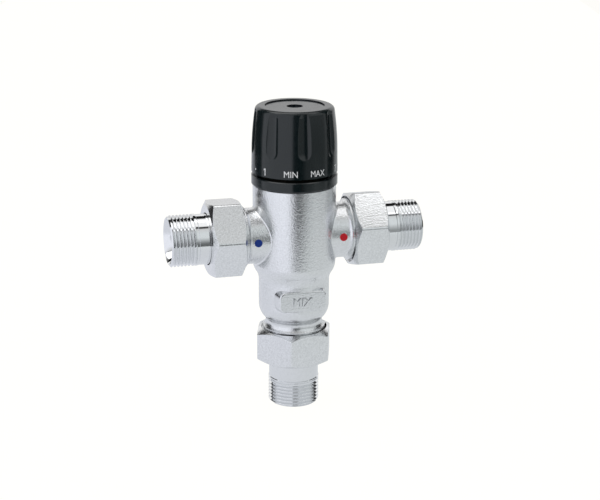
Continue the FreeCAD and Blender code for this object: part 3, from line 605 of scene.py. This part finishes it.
class VALVE_OT_tailpieces(Operator):
    """Turn the tailpieces, cut their pipe threads and set one at each port"""

    bl_idname = "valve.tailpieces"
    bl_label = "Threaded tailpieces"

    def execute(self, context):
        thread = context.scene.valve_thread
        inlet = self.tail("cold", thread, thread.strainer)
        fit_at_port(copy_of(inlet, "hot_threaded_tail"), "hot", "hot_tailpiece", "turned_chrome")
        fit_at_port(inlet, "cold", "cold_tailpiece", "turned_chrome")
        outlet = self.tail("outlet", thread, thread.bore + thread.recess)
        fit_at_port(outlet, "outlet", "outlet_tailpiece", "turned_chrome")
        return {"FINISHED"}

    def tail(self, port, thread, seat):
        """Tailpiece standing on its flange at the origin, with its mouth up."""
        flange_edge, funnel_length = 0.15 * MM, 1.7 * thread.funnel
        low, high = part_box(f"{port}_tailpiece")
        total = high.z - low.z if port == "outlet" else high.x - low.x
        across = high.y - low.y
        crest = mount_of(port)["dims"]["r_mm"] * MM
        shoulder = total - thread.run
        outline = [
            (seat, 0),
            (across / 2 - flange_edge, 0),
            (across / 2, flange_edge),
            (across / 2, thread.flange),
            (thread.barrel, thread.flange),
            (thread.barrel, shoulder),
            (crest, shoulder + crest - thread.barrel),
            (crest, total - thread.chamfer),
            (crest - thread.chamfer, total),
            (thread.bore + thread.funnel, total),
            (thread.bore, total - funnel_length),
            (thread.bore, thread.recess),
            (seat, thread.recess),
        ]
        piece = turned_by_hand(f"{port}_threaded_tail", outline, thread.segments)
        cutter = self.groove(thread, crest, shoulder + thread.pitch / 3, total)
        apply_modifier(piece, "BOOLEAN", operation="DIFFERENCE", solver="EXACT", object=cutter)
        bpy.data.objects.remove(cutter)
        faces_out(piece)
        smooth_to(piece, 36)
        return piece

    def groove(self, thread, crest, low, high):
        """Wedge wound up the thread: it comes in over its first turn and runs out past the mouth."""
        crest_round, floor_round, same = 0.16 * MM, 0.1 * MM, 0.01 * MM
        # Each step over the crest: how far out it goes, and how much wider it is than the step before.
        crest_steps = ((0.1 * MM, 1.112), (0.06 * MM, 1.147), (0.25 * MM, 1.03))
        root = crest - thread.depth
        deep = thread.depth - crest_round
        slope = math.tan(27.5 * DEGREE)
        half_way = root + deep / 2
        inside = root + deep + 0.3 * MM
        nothing_selected()
        middle = (half_way, 0, low)
        bpy.ops.mesh.primitive_plane_add(size=1, rotation=(math.pi / 2, 0, 0), location=middle)
        cutter = named(bpy.context.object, "thread_groove")
        cutter.scale = (deep, 2 * thread.root, 1)
        apply_place(cutter)
        edit_points(cutter, lambda place: place.x > half_way)
        flare = 1 + deep * slope / thread.root
        bpy.ops.transform.resize(value=(1, 1, flare), center_override=(root + deep, 0, low))
        for out, wider in crest_steps:
            bpy.ops.mesh.extrude_region_move(TRANSFORM_OT_translate={"value": (out, 0, 0)})
            bpy.ops.transform.resize(value=(1, 1, wider), center_override=(root, 0, low))

        def between_steps(start, end):
            """The lines inside the outline that would be wound into inner walls."""
            nearest, furthest = min(start.x, end.x), max(start.x, end.x)
            return half_way < nearest and furthest < inside and furthest - nearest < same

        edit_edges(cutter, between_steps)
        bpy.ops.mesh.dissolve_edges(use_verts=False)
        edit_points(cutter, lambda place: place.x < half_way)
        bpy.ops.mesh.bevel(offset=floor_round, offset_type="OFFSET", segments=3, affect="VERTICES")
        bpy.ops.object.mode_set(mode="OBJECT")
        turns = math.ceil((high - low) / thread.pitch) + 1
        steps = thread.segments * turns
        apply_modifier(
            cutter,
            "SCREW",
            angle=2 * math.pi * turns,
            screw_offset=thread.pitch * turns,
            steps=steps,
            render_steps=steps,
            use_merge_vertices=False,
        )
        self.lead_in(cutter, thread, low)
        edit_all(cutter)
        bpy.ops.mesh.fill_holes(sides=0)
        faces_out(cutter)
        return cutter

    def lead_in(self, cutter, thread, low):
        """Lift the first turn out of the metal a little more at each step back to its start."""
        lifts, mean_radius, nudge = 12, 13 * MM, 0.0001

        def first_turn(place, share):
            angle = (math.atan2(place.y, place.x) + nudge) % (2 * math.pi)
            wound = (place.z - low) / thread.pitch - angle / (2 * math.pi)
            return abs(wound) < 0.5 and angle < share * 2 * math.pi

        rise = 1 + thread.depth / lifts / mean_radius
        for lift in range(lifts):
            share = (lift + 0.5) / lifts
            edit_points(cutter, lambda place: first_turn(place, share))
            bpy.ops.transform.resize(value=(rise, rise, 1), center_override=(0, 0, 0))
        bpy.ops.object.mode_set(mode="OBJECT")


class VALVE_OT_springs(Operator):
    """Wind the check valve springs and the return spring"""

    bl_idname = "valve.springs"
    bl_label = "Working springs"

    def execute(self, context):
        sizes = context.scene.valve_spring
        for port, seat_end in (("cold", 1), ("hot", 0)):
            node = f"{port}_check_spring"
            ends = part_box(node)
            long = ends[1].x - ends[0].x
            coil = sizes.check_radius, sizes.check_wire, sizes.check_turns
            piece = self.wound(f"{port}_check_coil", *coil, long)
            piece.rotation_euler = (0, math.pi / 2, 0)
            piece.location = (ends[0].x, 0, (ends[0].z + ends[1].z) / 2)
            self.fit(piece, node, f"{port}_check_opening", (1, 0, 0), ends[seat_end], long)
        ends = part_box("return_spring")
        long = ends[1].z - ends[0].z
        piece = self.wound("return_coil", sizes.return_radius, sizes.return_wire, sizes.return_turns, long)
        piece.location.z = ends[0].z
        self.fit(piece, "return_spring", "mixing_stroke", (0, 0, 1), ends[0], long)
        return {"FINISHED"}

    def wound(self, name, radius, wire, turns, long):
        """Wire circle wound up the Z axis from the origin."""
        wire_sides, steps_in_a_turn = 12, 36
        nothing_selected()
        bpy.ops.mesh.primitive_circle_add(
            vertices=wire_sides, radius=wire, rotation=(math.pi / 2, 0, 0), location=(radius, 0, wire)
        )
        piece = named(bpy.context.object, name)
        apply_place(piece)
        steps = steps_in_a_turn * turns
        apply_modifier(
            piece,
            "SCREW",
            angle=2 * math.pi * turns,
            screw_offset=long - 2 * wire,
            steps=steps,
            render_steps=steps,
            use_merge_vertices=False,
        )
        edit_all(piece)
        bpy.ops.mesh.fill_holes(sides=0)
        faces_out(piece)
        smooth_to(piece, 50)
        return piece

    def fit(self, piece, node, joint, axis, anchor, long):
        """Stand in for the node: ride on its body in drawn stainless, hide the node and take a mesh of its own."""
        settle(piece, body_of_node(node), bpy.data.materials["drawn_stainless"])
        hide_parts(node)
        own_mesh(piece)


class VALVE_OT_dial_marks(Operator):
    """Print MIN, the figures 1 to 7, MAX and the dots between them round the knob"""

    bl_idname = "valve.dial_marks"
    bl_label = "Dial marks"

    def execute(self, context):
        marks = context.scene.valve_marks
        lower = -0.2 * MM
        step = (2 * math.pi - 3 * marks.end_step) / 6
        self.print_on(self.flat_word("MIN", marks.word, marks.min_width), "dial_min", marks.first, 0)
        angle = marks.first - marks.end_step
        for figure in range(1, 8):
            label = self.flat_one(marks.figure) if figure == 1 else self.flat_word(str(figure), marks.figure)
            self.print_on(label, f"dial_{figure}", angle - (figure - 1) * step, lower)
        last = angle - 6 * step
        word = self.flat_word("MAX", marks.word, marks.max_width)
        self.print_on(word, "dial_max", last - marks.end_step, 0)
        first_dot = self.print_on(self.flat_dot(marks), "dial_dot_1", angle - step / 2, lower)
        for dot in range(2, 7):
            copied = copy_of(first_dot, f"dial_dot_{dot}")
            copied.rotation_euler = (0, 0, -(dot - 1) * step)
            self.leave(copied)
        return {"FINISHED"}

    def flat_word(self, text, height, width=None):
        """Word cut from flat film, its foot on the X axis and its middle over the origin."""
        narrowed = 0.85
        nothing_selected()
        bpy.ops.object.text_add()
        label = bpy.context.object
        label.data.body = text
        label.data.resolution_u = 4
        bpy.ops.object.convert(target="MESH")
        label = bpy.context.object
        tall = label.dimensions.y
        across = width / label.dimensions.x if width else narrowed * height / tall
        label.scale = (across, height / tall, 1)
        apply_place(label)
        points = [vertex.co for vertex in label.data.vertices]
        left, right = min(p.x for p in points), max(p.x for p in points)
        label.location = (-(left + right) / 2, -min(p.y for p in points), 0)
        apply_place(label)
        return label

    def flat_one(self, height):
        """Figure 1: an upright with a flag pulled out of its top left edge."""
        stem, flag_foot = 0.13 * height, 0.84 * height
        flag = (-1.4 * stem, -0.14 * height, 0)
        nothing_selected()
        bpy.ops.mesh.primitive_plane_add(size=1, location=(0, height / 2, 0))
        one = bpy.context.object
        one.scale = (stem, height, 1)
        apply_place(one)
        edit_all(one)
        bpy.ops.mesh.bisect(plane_co=(0, flag_foot, 0), plane_no=(0, 1, 0))
        bpy.ops.object.mode_set(mode="OBJECT")
        edit_edges(one, lambda start, end: max(start.x, end.x) < 0 and min(start.y, end.y) > 0.8 * height)
        bpy.ops.mesh.extrude_region_move(TRANSFORM_OT_translate={"value": flag})
        bpy.ops.object.mode_set(mode="OBJECT")
        return one

    def flat_dot(self, marks):
        nothing_selected()
        middle = (0, marks.figure / 2, 0)
        bpy.ops.mesh.primitive_circle_add(vertices=20, radius=marks.dot, fill_type="NGON", location=middle)
        dot = bpy.context.object
        apply_place(dot)
        edit_all(dot)
        bpy.ops.mesh.inset(thickness=0.1 * MM, depth=0.0)
        bpy.ops.object.mode_set(mode="OBJECT")
        return dot

    def print_on(self, label, name, angle, lower):
        """Stand the flat mark up, bend it round the knob, lay it on the surface and give it its film."""
        strip_width, off_surface = 0.5 * MM, 0.01 * MM
        marks = bpy.context.scene.valve_marks
        knob_low, knob_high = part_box("knob")
        radius = knob_high.x
        wide = label.dimensions.x
        strips = max(2, round(wide / strip_width))
        edit_all(label)
        for strip in range(1, strips):
            bpy.ops.mesh.select_all(action="SELECT")
            across = wide * (strip / strips - 0.5)
            bpy.ops.mesh.bisect(plane_co=(across, 0, 0), plane_no=(1, 0, 0))
        bpy.ops.object.mode_set(mode="OBJECT")
        label.rotation_euler = (math.pi / 2, 0, 0)
        apply_place(label)
        apply_modifier(label, "SIMPLE_DEFORM", deform_method="BEND", deform_axis="Z", angle=wide / radius)
        label.location = (0, -radius, knob_low.z + marks.base_line + lower)
        apply_place(label)
        apply_modifier(
            label,
            "SHRINKWRAP",
            target=NODES["knob"],
            wrap_method="NEAREST_SURFACEPOINT",
            wrap_mode="ABOVE_SURFACE",
            offset=off_surface,
        )
        label.rotation_euler = (0, 0, angle + math.pi / 2)
        apply_place(label)
        apply_modifier(label, "SOLIDIFY", thickness=marks.film, offset=1.0)
        faces_out(label)
        self.leave(named(label, name))
        return label

    def leave(self, label):
        settle(label, body_of_node("knob"), bpy.data.materials["white_ink"])


class VALVE_OT_cast_word(Operator):
    """Raise the word MIX on the pad over the mixed water outlet"""

    bl_idname = "valve.cast_word"
    bl_label = "Cast word"

    def execute(self, context):
        marks = context.scene.valve_marks
        nothing_selected()
        bpy.ops.object.text_add()
        text = bpy.context.object
        text.data.body = "MIX"
        text.data.align_x = "CENTER"
        text.data.align_y = "CENTER"
        text.data.extrude = 0.08
        text.data.bevel_depth = 0.02
        text.data.bevel_resolution = 2
        bpy.ops.object.convert(target="MESH")
        word = named(bpy.context.object, "cast_word_mix")
        size = word.dimensions
        word.scale = (marks.pad_width / size.x, marks.pad_height / size.y, 2 * marks.pad_raise / size.z)
        word.rotation_euler = (math.pi / 2, 0, 0)
        apply_place(word)
        points = [vertex.co for vertex in word.data.vertices]
        middle = [(min(p[axis] for p in points) + max(p[axis] for p in points)) / 2 for axis in range(3)]
        word.location = (-middle[0], -marks.pad_face - middle[1], marks.pad_middle - middle[2])
        faces_out(word)
        smooth_to(word, 35)
        settle(word, body_of_node("valve_body"), bpy.data.materials["pearl_chrome"])
        # Painted shade: every face of the word that doesn't face straight out wears the darker chrome, so the letters'
        # sides read as shaded.
        word.data.materials.append(bpy.data.materials["painted_shade_chrome"])
        for face in word.data.polygons:
            face.material_index = 1 if face.normal.y > -0.9 else 0
        return {"FINISHED"}


class VALVE_OT_index_tick(Operator):
    """Add the small upright index on the ring below the knob"""

    bl_idname = "valve.index_tick"
    bl_label = "Index tick"

    def execute(self, context):
        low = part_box("indicator_ring")[0]
        half_width, half_length = 0.22 * MM, 1.35 * MM
        proud, crown, sunk = 0.16 * MM, 0.05 * MM, 0.3 * MM
        middle = low.z + 2.5 * MM
        nothing_selected()
        bpy.ops.mesh.primitive_circle_add(
            vertices=20,
            radius=half_width,
            fill_type="NGON",
            rotation=(math.pi / 2, 0, 0),
            location=(0, low.y, middle),
        )
        tick = named(bpy.context.object, "index_tick")
        apply_place(tick)
        edit_points(tick, lambda place: place.z > middle)
        bpy.ops.transform.translate(value=(0, 0, half_length))
        edit_points(tick, lambda place: place.z < middle)
        bpy.ops.transform.translate(value=(0, 0, -half_length))
        edit_all(tick)
        bpy.ops.mesh.extrude_region_move(TRANSFORM_OT_translate={"value": (0, -proud, 0)})
        bpy.ops.mesh.inset(thickness=0.08 * MM, depth=crown)
        edit_points(tick, lambda place: abs(place.y - low.y) < 0.01 * MM)
        bpy.ops.transform.translate(value=(0, sunk, 0))
        faces_out(tick)
        smooth_to(tick, 40)
        tick.rotation_euler = (0, 0, context.scene.valve_marks.tick + math.pi / 2)
        settle(tick, body_of_node("indicator_ring"), bpy.data.materials["matt_black"])
        return {"FINISHED"}


class VALVE_OT_studio(Operator):
    """Set up the pale floor, the soft light round the valve and the camera"""

    bl_idname = "valve.studio"
    bl_label = "Studio"

    def execute(self, context):
        scene = context.scene
        scene.view_settings.view_transform = "Standard"
        azimuth = scene.valve_studio.azimuth
        self.front = Vector((math.sin(azimuth), -math.cos(azimuth), 0))
        self.right = Vector((math.cos(azimuth), math.sin(azimuth), 0))
        self.floor(scene)
        self.world(scene)
        self.lamp("overhead_softbox", place=(-0.25, 0.10, 0.95), aim=(0, 0, 0.08), wide=0.7, deep=0.7, power=1.5)
        side, ahead = 0.155, -0.095
        self.lamp("right_card", (side, ahead, 0.40), aim=(side, ahead, 0.0), wide=0.11, deep=0.05, power=0.0145)
        self.camera(scene)
        return {"FINISHED"}

    def floor(self, scene):
        """Pale floor that keeps the valve's shadow. It glows: white to the camera, and to metal a painted pattern,
        bluer on the left and darker near the valve than further off.
        """
        reach, glow_strength, glow_share = 2.5, 1.07, 0.93
        nothing_selected()
        bpy.ops.mesh.primitive_circle_add(vertices=96, radius=reach, fill_type="NGON", location=(0, 0, CAD_BOX[0].z))
        floor = named(bpy.context.object, "studio_floor")
        apply_place(floor)
        edit_all(floor)
        edge = self.front * scene.valve_studio.table_edge
        bpy.ops.mesh.bisect(plane_co=edge, plane_no=self.front, clear_outer=True)
        for side in (self.right, -self.right):
            bpy.ops.mesh.select_all(action="SELECT")
            edge = side * scene.valve_studio.table_side
            bpy.ops.mesh.bisect(plane_co=edge, plane_no=side, clear_outer=True)
        bpy.ops.object.mode_set(mode="OBJECT")
        material, nodes, links, shader = new_material("glowing_floor_paper")
        shader.inputs["Base Color"].default_value = scene.valve_finish.floor
        shader.inputs["Roughness"].default_value = 0.9
        place = nodes.new("ShaderNodeTexCoord").outputs["Object"]
        across = dotted(nodes, links, place, self.right)
        ahead = dotted(nodes, links, place, self.front)
        # Painted reflection: what metal sees in the floor, lighter and bluer to the left, grey-green to the right,
        # darker near the valve.
        near = ramped(nodes, links, across, -0.2, 0.2, [(-0.1, (0.72, 0.74, 0.80)), (0.1, (0.64, 0.67, 0.68))])
        far = ramped(nodes, links, across, -0.2, 0.2, [(-0.1, (0.88, 0.90, 0.98)), (0.1, (0.72, 0.76, 0.77))])
        further = ramped(nodes, links, ahead, 0.0, 0.4, [(0.12, 0.0), (0.27, 1.0)])
        shine = mixed(nodes, links, further, near, far)
        path = nodes.new("ShaderNodeLightPath")
        seen = mixed(nodes, links, path.outputs["Is Camera Ray"], shine, scene.valve_finish.white)
        lit = maths(nodes, links, "MAXIMUM", path.outputs["Is Camera Ray"], path.outputs["Is Glossy Ray"])
        lit = maths(nodes, links, "MAXIMUM", lit, path.outputs["Is Transmission Ray"])
        glow = nodes.new("ShaderNodeEmission")
        glow.inputs["Strength"].default_value = glow_strength
        links.new(seen, glow.inputs["Color"])
        share = maths(nodes, links, "MULTIPLY", lit, glow_share)
        mix = nodes.new("ShaderNodeMixShader")
        links.new(share, mix.inputs["Fac"])
        links.new(shader.outputs["BSDF"], mix.inputs[1])
        links.new(glow.outputs["Emission"], mix.inputs[2])
        output = next(node for node in nodes if node.type == "OUTPUT_MATERIAL")
        links.new(mix.outputs["Shader"], output.inputs["Surface"])
        wear(floor, material)

    def world(self, scene):
        """White to the camera; round the valve, two front panels with a gap, a soft box overhead and a back wall.

        A ramp's stops are angles in degrees, each with the strength or colour there. lift turns from ahead over the
        top to behind, swing goes round to the right, and height is the angle above the horizon.
        """
        world = bpy.data.worlds.new("studio_world")
        scene.world = world
        world.use_nodes = True
        nodes = world.node_tree.nodes
        links = world.node_tree.links
        nodes.clear()
        facing = nodes.new("ShaderNodeTexCoord").outputs["Generated"]
        ahead = dotted(nodes, links, facing, self.front)
        aside = dotted(nodes, links, facing, self.right)
        up = dotted(nodes, links, facing, (0, 0, 1))
        lift = in_degrees(nodes, links, maths(nodes, links, "ARCTAN2", up, ahead))
        swing = in_degrees(nodes, links, maths(nodes, links, "ARCTAN2", aside, ahead))
        height = in_degrees(nodes, links, maths(nodes, links, "ARCSINE", up))
        box = scene.valve_studio.overhead
        back_wall = scene.valve_studio.backdrop
        left_panel = (0.96, 0.98, 1.05)
        right_panel = (0.77, 0.81, 0.82)
        gap = (0.01, 0.012, 0.012, 1)
        over = ramped(nodes, links, lift, -180, 180, [
            (-150, back_wall), (-140, 0.66), (30, 0.66), (66, 0.70), (69, 0.06), (76, 0.06), (79, box), (121, box),
            (124, 0.01), (145, 0.01), (148, 1.0), (167, 1.0), (169, back_wall),
        ])
        round_about = ramped(nodes, links, swing, -180, 180, [
            (-136, back_wall), (-132, 0.02), (-99, 0.02), (-95, left_panel), (-6, left_panel), (-2, 0.04), (18, 0.04),
            (26, right_panel), (95, right_panel), (99, 0.02), (132, 0.02), (136, back_wall),
        ])
        sides = ramped(nodes, links, swing, -180, 180, [(-138, 0.0), (-134, 1.0), (134, 1.0), (138, 0.0)])
        wall = ramped(nodes, links, height, -90, 90, [(42, 1.0), (60, 0.0)])
        wall = maths(nodes, links, "MULTIPLY", wall, sides)
        right_gap = ramped(nodes, links, swing, -180, 180, [
            (-5, 0.0), (-2, 1.0), (18, 1.0), (26, 0.85), (33, 0.62), (88, 0.62), (96, 0.0),
        ])
        under = ramped(nodes, links, height, -90, 90, [(-12, 1.0), (-3, 0.9), (8, 0.5), (22, 0.0)])
        dark = maths(nodes, links, "MULTIPLY", right_gap, under)
        room = mixed(nodes, links, wall, over, round_about)
        room = mixed(nodes, links, dark, room, gap)
        path = nodes.new("ShaderNodeLightPath")
        seen = mixed(nodes, links, path.outputs["Is Camera Ray"], room, scene.valve_finish.white)
        back = nodes.new("ShaderNodeBackground")
        output = nodes.new("ShaderNodeOutputWorld")
        links.new(seen, back.inputs["Color"])
        links.new(back.outputs["Background"], output.inputs["Surface"])

    def lamp(self, name, place, aim, wide, deep, power):
        """Soft light the camera doesn't see, facing the point it aims at."""
        nothing_selected()
        bpy.ops.object.light_add(type="AREA", location=place)
        lamp = named(bpy.context.object, name)
        lamp.data.shape = "RECTANGLE"
        lamp.data.size = wide
        lamp.data.size_y = deep
        lamp.data.energy = power
        lamp.rotation_euler = (Vector(aim) - Vector(place)).to_track_quat("-Z", "Y").to_euler()
        lamp.visible_camera = False

    def camera(self, scene):
        """Camera on its circle round the valve, looking at a point on the valve's axis."""
        studio = scene.valve_studio
        nothing_selected()
        bpy.ops.object.camera_add()
        camera = bpy.context.object
        back = self.front * math.cos(studio.elevation) + Vector((0, 0, math.sin(studio.elevation)))
        camera.location = Vector((0, 0, studio.aim)) + back * studio.distance
        facing = (-back).to_track_quat("-Z", "Y")
        camera.rotation_euler = (facing.to_matrix() @ Matrix.Rotation(studio.roll, 3, "Z")).to_euler()
        camera.data.lens = studio.lens
        camera.data.sensor_width = 36.0
        camera.data.shift_x = studio.shift_x
        camera.data.shift_y = studio.shift_y
        scene.camera = camera


# ---------------------------------------------------------------- panel and registering


class VALVE_PT_panel(Panel):
    """Lists the valve's pieces and the studio"""

    bl_idname = "VALVE_PT_panel"
    bl_label = "Mixing Valve"
    bl_space_type = "VIEW_3D"
    bl_region_type = "UI"
    bl_category = "Mixing Valve"

    def draw(self, context):
        for operator in STEPS:
            self.layout.operator(operator.bl_idname)
        for name, group in GROUPS.items():
            box = self.layout.box()
            for prop in group.__annotations__:
                box.prop(getattr(context.scene, name), prop)


STEPS = (
    VALVE_OT_finishes,
    VALVE_OT_union_nuts,
    VALVE_OT_tailpieces,
    VALVE_OT_springs,
    VALVE_OT_dial_marks,
    VALVE_OT_cast_word,
    VALVE_OT_index_tick,
    VALVE_OT_studio,
)


def register():
    for group in (*GROUPS.values(), *STEPS, VALVE_PT_panel):
        bpy.utils.register_class(group)
    for name, group in GROUPS.items():
        setattr(bpy.types.Scene, name, PointerProperty(type=group))


def unregister():
    for name in GROUPS:
        delattr(bpy.types.Scene, name)
    for group in reversed((*GROUPS.values(), *STEPS, VALVE_PT_panel)):
        bpy.utils.unregister_class(group)


def main():
    register()
    for step in STEPS:
        group, name = step.bl_idname.split(".")
        getattr(getattr(bpy.ops, group), name)()


if __name__ == "__main__":
    main()
